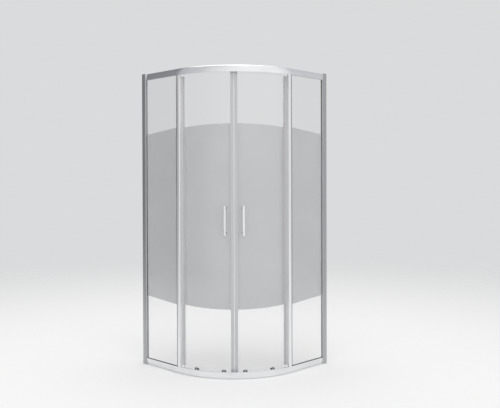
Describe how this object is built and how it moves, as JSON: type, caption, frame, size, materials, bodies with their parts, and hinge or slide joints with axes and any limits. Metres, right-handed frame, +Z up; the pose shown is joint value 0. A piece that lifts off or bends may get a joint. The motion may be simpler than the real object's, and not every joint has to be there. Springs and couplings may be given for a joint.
{
  "type": "quadrant corner shower enclosure",
  "caption": "Quarter-round corner shower enclosure with flat fixed panes, curved sliding glass doors on rollers, a bright aluminium frame, frosted bands and bow handles.",
  "frame": {"origin": "middle of the bounding box on the floor the bottom rail stands on", "axes": "+Z up; -X towards the wall behind the left wall profile, +Y towards the wall behind the right wall profile; the doors meet on the diagonal between +X and -Y"},
  "size_m": [0.877, 0.877, 1.95],
  "materials": {
    "polished_aluminium": "chrome-bright polished and anodised extrusion",
    "satin_aluminium": "satin anodised extrusion",
    "clear_glass": "clear tempered, arrised edges",
    "frosted_layer": "satin frosted, fired on the inside",
    "gasket": "dark glazing rubber",
    "clear_seal": "translucent soft PVC",
    "magnet_seal": "grey PVC sleeve over a magnet strip",
    "chrome": "bright chrome plate",
    "zinc": "zinc die casting",
    "steel": "stainless screw steel",
    "washer": "dark soft washer",
    "housing_plastic": "dark grey moulded plastic",
    "button_plastic": "light grey moulded plastic",
    "wheel_nylon": "white moulded nylon",
    "cap_plastic": "grey moulded cap"
  },
  "bodies": {
    "frame": {"top_rail": "polished_aluminium", "bottom_rail": "polished_aluminium", "slot_covers": "polished_aluminium", "wall_profile_left": "polished_aluminium", "wall_profile_right": "polished_aluminium", "side_profile_left": "polished_aluminium", "side_profile_right": "polished_aluminium", "post_left": "polished_aluminium", "post_right": "polished_aluminium", "fixed_glass_left": "clear_glass", "fixed_glass_right": "clear_glass", "fixed_frosted_bands": "frosted_layer", "glazing_gaskets": "gasket", "post_seal_fins": "clear_seal", "frame_screws": "steel", "screw_caps": "cap_plastic", "profile_caps": "cap_plastic", "door_stops": "gasket"},
    "left_door": {"door_glass_left": "clear_glass", "door_frosted_band_left": "frosted_layer", "door_edge_profile_left": "satin_aluminium", "magnetic_seal_left": "magnet_seal", "trailing_seal_left": "clear_seal", "handle_left": "chrome", "handle_screws_left": "chrome", "handle_washers_left": "washer", "top_roller_hubs_left": "zinc", "top_roller_caps_left": "cap_plastic", "bottom_roller_housings_left": "housing_plastic", "bottom_roller_clamps_left": "housing_plastic", "bottom_roller_screws_left": "steel", "release_spring_lead_left": "steel", "release_spring_trail_left": "steel"},
    "right_door": {"door_glass_right": "clear_glass", "door_frosted_band_right": "frosted_layer", "door_edge_profile_right": "satin_aluminium", "magnetic_seal_right": "magnet_seal", "trailing_seal_right": "clear_seal", "handle_right": "chrome", "handle_screws_right": "chrome", "handle_washers_right": "washer", "top_roller_hubs_right": "zinc", "top_roller_caps_right": "cap_plastic", "bottom_roller_housings_right": "housing_plastic", "bottom_roller_clamps_right": "housing_plastic", "bottom_roller_screws_right": "steel", "release_spring_lead_right": "steel", "release_spring_trail_right": "steel"},
    "left_lead_top_wheel": {"top_wheel_lead_left": "wheel_nylon"},
    "left_lead_release": {"release_slider_lead_left": "button_plastic"},
    "left_lead_bottom_wheel": {"bottom_wheel_lead_left": "wheel_nylon"},
    "left_trail_top_wheel": {"top_wheel_trail_left": "wheel_nylon"},
    "left_trail_release": {"release_slider_trail_left": "button_plastic"},
    "left_trail_bottom_wheel": {"bottom_wheel_trail_left": "wheel_nylon"},
    "right_lead_top_wheel": {"top_wheel_lead_right": "wheel_nylon"},
    "right_lead_release": {"release_slider_lead_right": "button_plastic"},
    "right_lead_bottom_wheel": {"bottom_wheel_lead_right": "wheel_nylon"},
    "right_trail_top_wheel": {"top_wheel_trail_right": "wheel_nylon"},
    "right_trail_release": {"release_slider_trail_right": "button_plastic"},
    "right_trail_bottom_wheel": {"bottom_wheel_trail_right": "wheel_nylon"}
  },
  "joints": [
    {"name": "left_door_travel", "type": "hinge", "parent": "frame", "child": "left_door", "pos_m": [-0.0875, 0.0875, 0.975], "axis": [0, 0, -1], "range_deg": [0, 26]},
    {"name": "right_door_travel", "type": "hinge", "parent": "frame", "child": "right_door", "pos_m": [-0.0875, 0.0875, 0.975], "axis": [0, 0, 1], "range_deg": [0, 26]},
    {"name": "left_lead_top_wheel_spin", "type": "hinge", "parent": "left_door", "child": "left_lead_top_wheel", "pos_m": [0.21371, -0.31222, 1.9263], "axis": [0.6018, -0.7986, 0], "continuous": true},
    {"name": "left_lead_release_press", "type": "slide", "parent": "left_door", "child": "left_lead_release", "axis": [0, 0, -1], "range_m": [0, 0.006], "stiffness_N_per_m": 400, "springref_m": -0.008, "deforming": ["release_spring_lead_left"]},
    {"name": "left_lead_bottom_wheel_spin", "type": "hinge", "parent": "left_lead_release", "child": "left_lead_bottom_wheel", "pos_m": [0.21371, -0.31222, 0.0237], "axis": [0.6018, -0.7986, 0], "continuous": true},
    {"name": "left_trail_top_wheel_spin", "type": "hinge", "parent": "left_door", "child": "left_trail_top_wheel", "pos_m": [0.04204, -0.39595, 1.9263], "axis": [0.2588, -0.9659, 0], "continuous": true},
    {"name": "left_trail_release_press", "type": "slide", "parent": "left_door", "child": "left_trail_release", "axis": [0, 0, -1], "range_m": [0, 0.006], "stiffness_N_per_m": 400, "springref_m": -0.008, "deforming": ["release_spring_trail_left"]},
    {"name": "left_trail_bottom_wheel_spin", "type": "hinge", "parent": "left_trail_release", "child": "left_trail_bottom_wheel", "pos_m": [0.04204, -0.39595, 0.0237], "axis": [0.2588, -0.9659, 0], "continuous": true},
    {"name": "right_lead_top_wheel_spin", "type": "hinge", "parent": "right_door", "child": "right_lead_top_wheel", "pos_m": [0.31222, -0.21371, 1.9263], "axis": [0.7986, -0.6018, 0], "continuous": true},
    {"name": "right_lead_release_press", "type": "slide", "parent": "right_door", "child": "right_lead_release", "axis": [0, 0, -1], "range_m": [0, 0.006], "stiffness_N_per_m": 400, "springref_m": -0.008, "deforming": ["release_spring_lead_right"]},
    {"name": "right_lead_bottom_wheel_spin", "type": "hinge", "parent": "right_lead_release", "child": "right_lead_bottom_wheel", "pos_m": [0.31222, -0.21371, 0.0237], "axis": [0.7986, -0.6018, 0], "continuous": true},
    {"name": "right_trail_top_wheel_spin", "type": "hinge", "parent": "right_door", "child": "right_trail_top_wheel", "pos_m": [0.39595, -0.04204, 1.9263], "axis": [0.9659, -0.2588, 0], "continuous": true},
    {"name": "right_trail_release_press", "type": "slide", "parent": "right_door", "child": "right_trail_release", "axis": [0, 0, -1], "range_m": [0, 0.006], "stiffness_N_per_m": 400, "springref_m": -0.008, "deforming": ["release_spring_trail_right"]},
    {"name": "right_trail_bottom_wheel_spin", "type": "hinge", "parent": "right_trail_release", "child": "right_trail_bottom_wheel", "pos_m": [0.39595, -0.04204, 0.0237], "axis": [0.9659, -0.2588, 0], "continuous": true}
  ],
  "couplings": [
    {"joint": "left_lead_top_wheel_spin", "follows": "left_door_travel", "ratio": 45.5},
    {"joint": "left_lead_bottom_wheel_spin", "follows": "left_door_travel", "ratio": -45.5},
    {"joint": "left_trail_top_wheel_spin", "follows": "left_door_travel", "ratio": 45.5},
    {"joint": "left_trail_bottom_wheel_spin", "follows": "left_door_travel", "ratio": -45.5},
    {"joint": "right_lead_top_wheel_spin", "follows": "right_door_travel", "ratio": -45.5},
    {"joint": "right_lead_bottom_wheel_spin", "follows": "right_door_travel", "ratio": 45.5},
    {"joint": "right_trail_top_wheel_spin", "follows": "right_door_travel", "ratio": -45.5},
    {"joint": "right_trail_bottom_wheel_spin", "follows": "right_door_travel", "ratio": 45.5}
  ]
}
